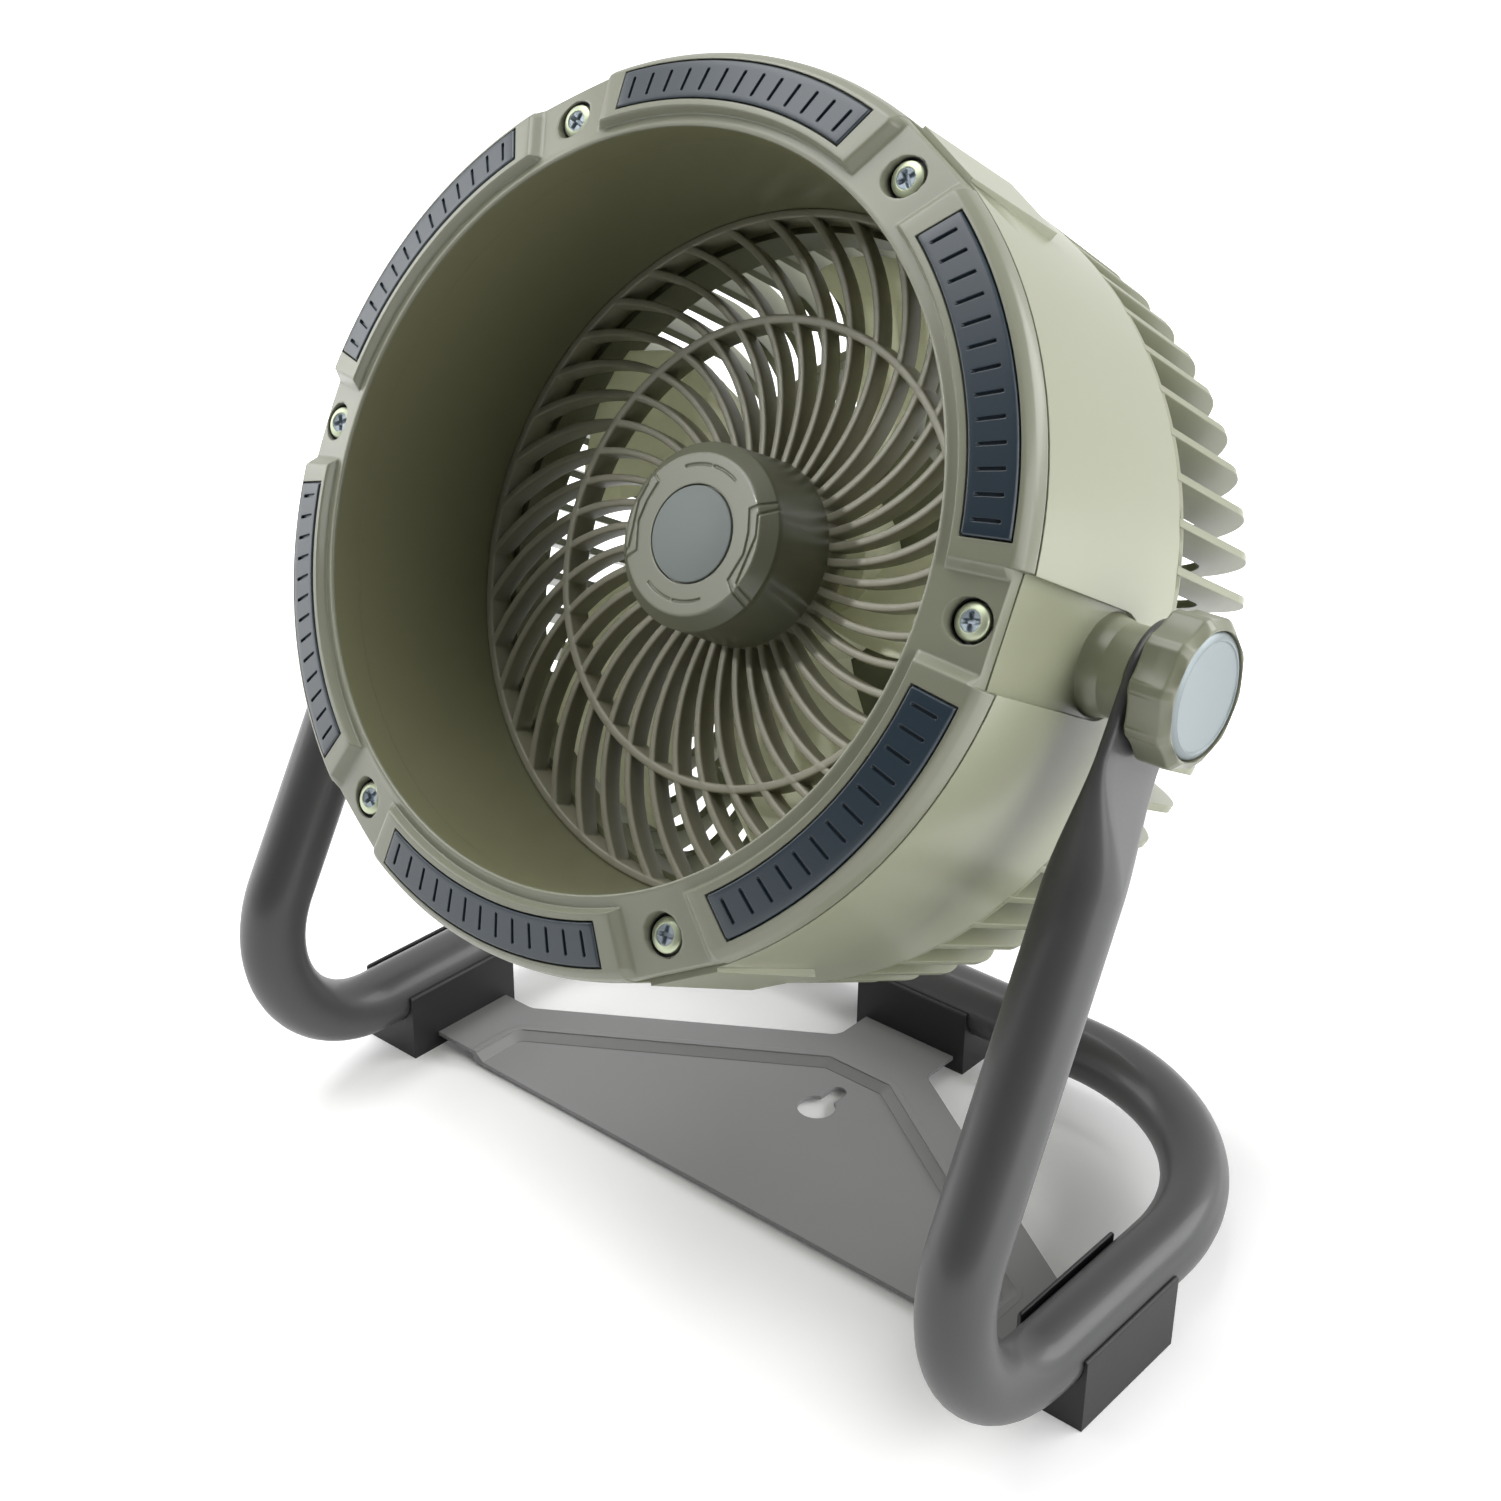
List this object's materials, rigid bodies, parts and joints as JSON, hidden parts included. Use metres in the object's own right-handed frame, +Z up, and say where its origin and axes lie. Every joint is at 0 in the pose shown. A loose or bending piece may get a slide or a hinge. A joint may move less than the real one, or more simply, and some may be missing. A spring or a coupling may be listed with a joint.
{
  "type": "portable camping fan",
  "caption": "Round battery fan that tilts between two clamp knobs on a bent tube stand with rubber feet and a pressed base plate with a hanging keyhole.",
  "frame": {"origin": "on the ground, under the middle of the whole fan's bounding box", "axes": "+Z up, the fan blows towards -Y, +X towards the fan's left hand seen from behind, along the tilt axis"},
  "size_m": [0.3124, 0.2448, 0.3652],
  "materials": {
    "stand_steel": "fine-textured powder coat",
    "plate_steel": "satin paint",
    "foot_rubber": "matt moulded rubber",
    "zinc": "bright zinc",
    "brass": "turned",
    "bezel_olive": "satin moulding",
    "duct_olive": "satin moulding",
    "grille_olive": "satin moulding",
    "barrel_khaki": "semi-gloss moulding",
    "guard_cream": "semi-gloss moulding",
    "pad_slate": "matt moulded rubber",
    "knob_olive": "satin moulding",
    "disc_silver": "fine satin",
    "impeller_green": "semi-gloss moulding",
    "black_plastic": "fine texture",
    "board": "solder mask",
    "cell": "printed sleeve",
    "copper": "enamelled windings",
    "core_steel": "magnet and steel core"
  },
  "bodies": {
    "stand": {"stand_tube": "stand_steel", "base_plate": "plate_steel", "foot_clip_left": "foot_rubber", "foot_clip_right": "foot_rubber", "foot_clip_rear": "foot_rubber", "foot_screws": "zinc", "pivot_washer_left": "foot_rubber", "pivot_washer_right": "foot_rubber", "knob_washer_left": "foot_rubber", "knob_washer_right": "foot_rubber"},
    "head": {"front_bezel": "bezel_olive", "bezel_pad_1": "pad_slate", "bezel_pad_2": "pad_slate", "bezel_pad_3": "pad_slate", "bezel_pad_4": "pad_slate", "bezel_pad_5": "pad_slate", "bezel_pad_6": "pad_slate", "bezel_screws": "zinc", "air_duct": "duct_olive", "front_grille": "grille_olive", "hub_cap": "grille_olive", "hub_disc": "disc_silver", "barrel": "barrel_khaki", "pivot_insert_left": "brass", "pivot_insert_right": "brass", "rear_guard": "guard_cream", "guard_screws": "zinc", "motor_housing": "duct_olive", "motor_case": "zinc", "motor_stator": "copper", "motor_bearings": "zinc", "battery_cells": "cell", "battery_holder": "black_plastic", "control_board": "board", "charge_port": "disc_silver", "dial_encoder": "black_plastic", "rear_cover": "guard_cream", "cover_screws": "zinc"},
    "rotor": {"impeller": "impeller_green", "impeller_nut": "zinc", "motor_rotor": "core_steel", "motor_shaft": "zinc"},
    "speed_dial": {"speed_dial": "black_plastic"},
    "port_flap": {"port_flap": "foot_rubber"},
    "knob_left": {"knob_grip_left": "knob_olive", "knob_disc_left": "disc_silver", "clamp_stud_left": "zinc"},
    "knob_right": {"knob_grip_right": "knob_olive", "knob_disc_right": "disc_silver", "clamp_stud_right": "zinc"}
  },
  "joints": [
    {"name": "head_tilt", "type": "hinge", "parent": "stand", "child": "head", "pos_m": [0, -0.00934, 0.2235], "axis": [1, 0, 0], "range_deg": [-63.2, 116.8]},
    {"name": "impeller_spin", "type": "hinge", "parent": "head", "child": "rotor", "pos_m": [0, 0.01539, 0.21101], "axis": [0, -0.8926, 0.4509], "continuous": true},
    {"name": "speed_dial_turn", "type": "hinge", "parent": "head", "child": "speed_dial", "pos_m": [0, 0.0889, 0.18732], "axis": [0, -0.8926, 0.4509], "range_deg": [0, 270]},
    {"name": "port_flap_open", "type": "hinge", "parent": "head", "child": "port_flap", "pos_m": [0, 0.06738, 0.15114], "axis": [-1, 0, 0], "range_deg": [0, 120]},
    {"name": "knob_left_turn", "type": "hinge", "parent": "stand", "child": "knob_left", "pos_m": [-0.14932, -0.00934, 0.2235], "axis": [-1, 0, 0], "range_deg": [0, 360]},
    {"name": "knob_right_turn", "type": "hinge", "parent": "stand", "child": "knob_right", "pos_m": [0.14932, -0.00934, 0.2235], "axis": [1, 0, 0], "range_deg": [0, 360]}
  ]
}
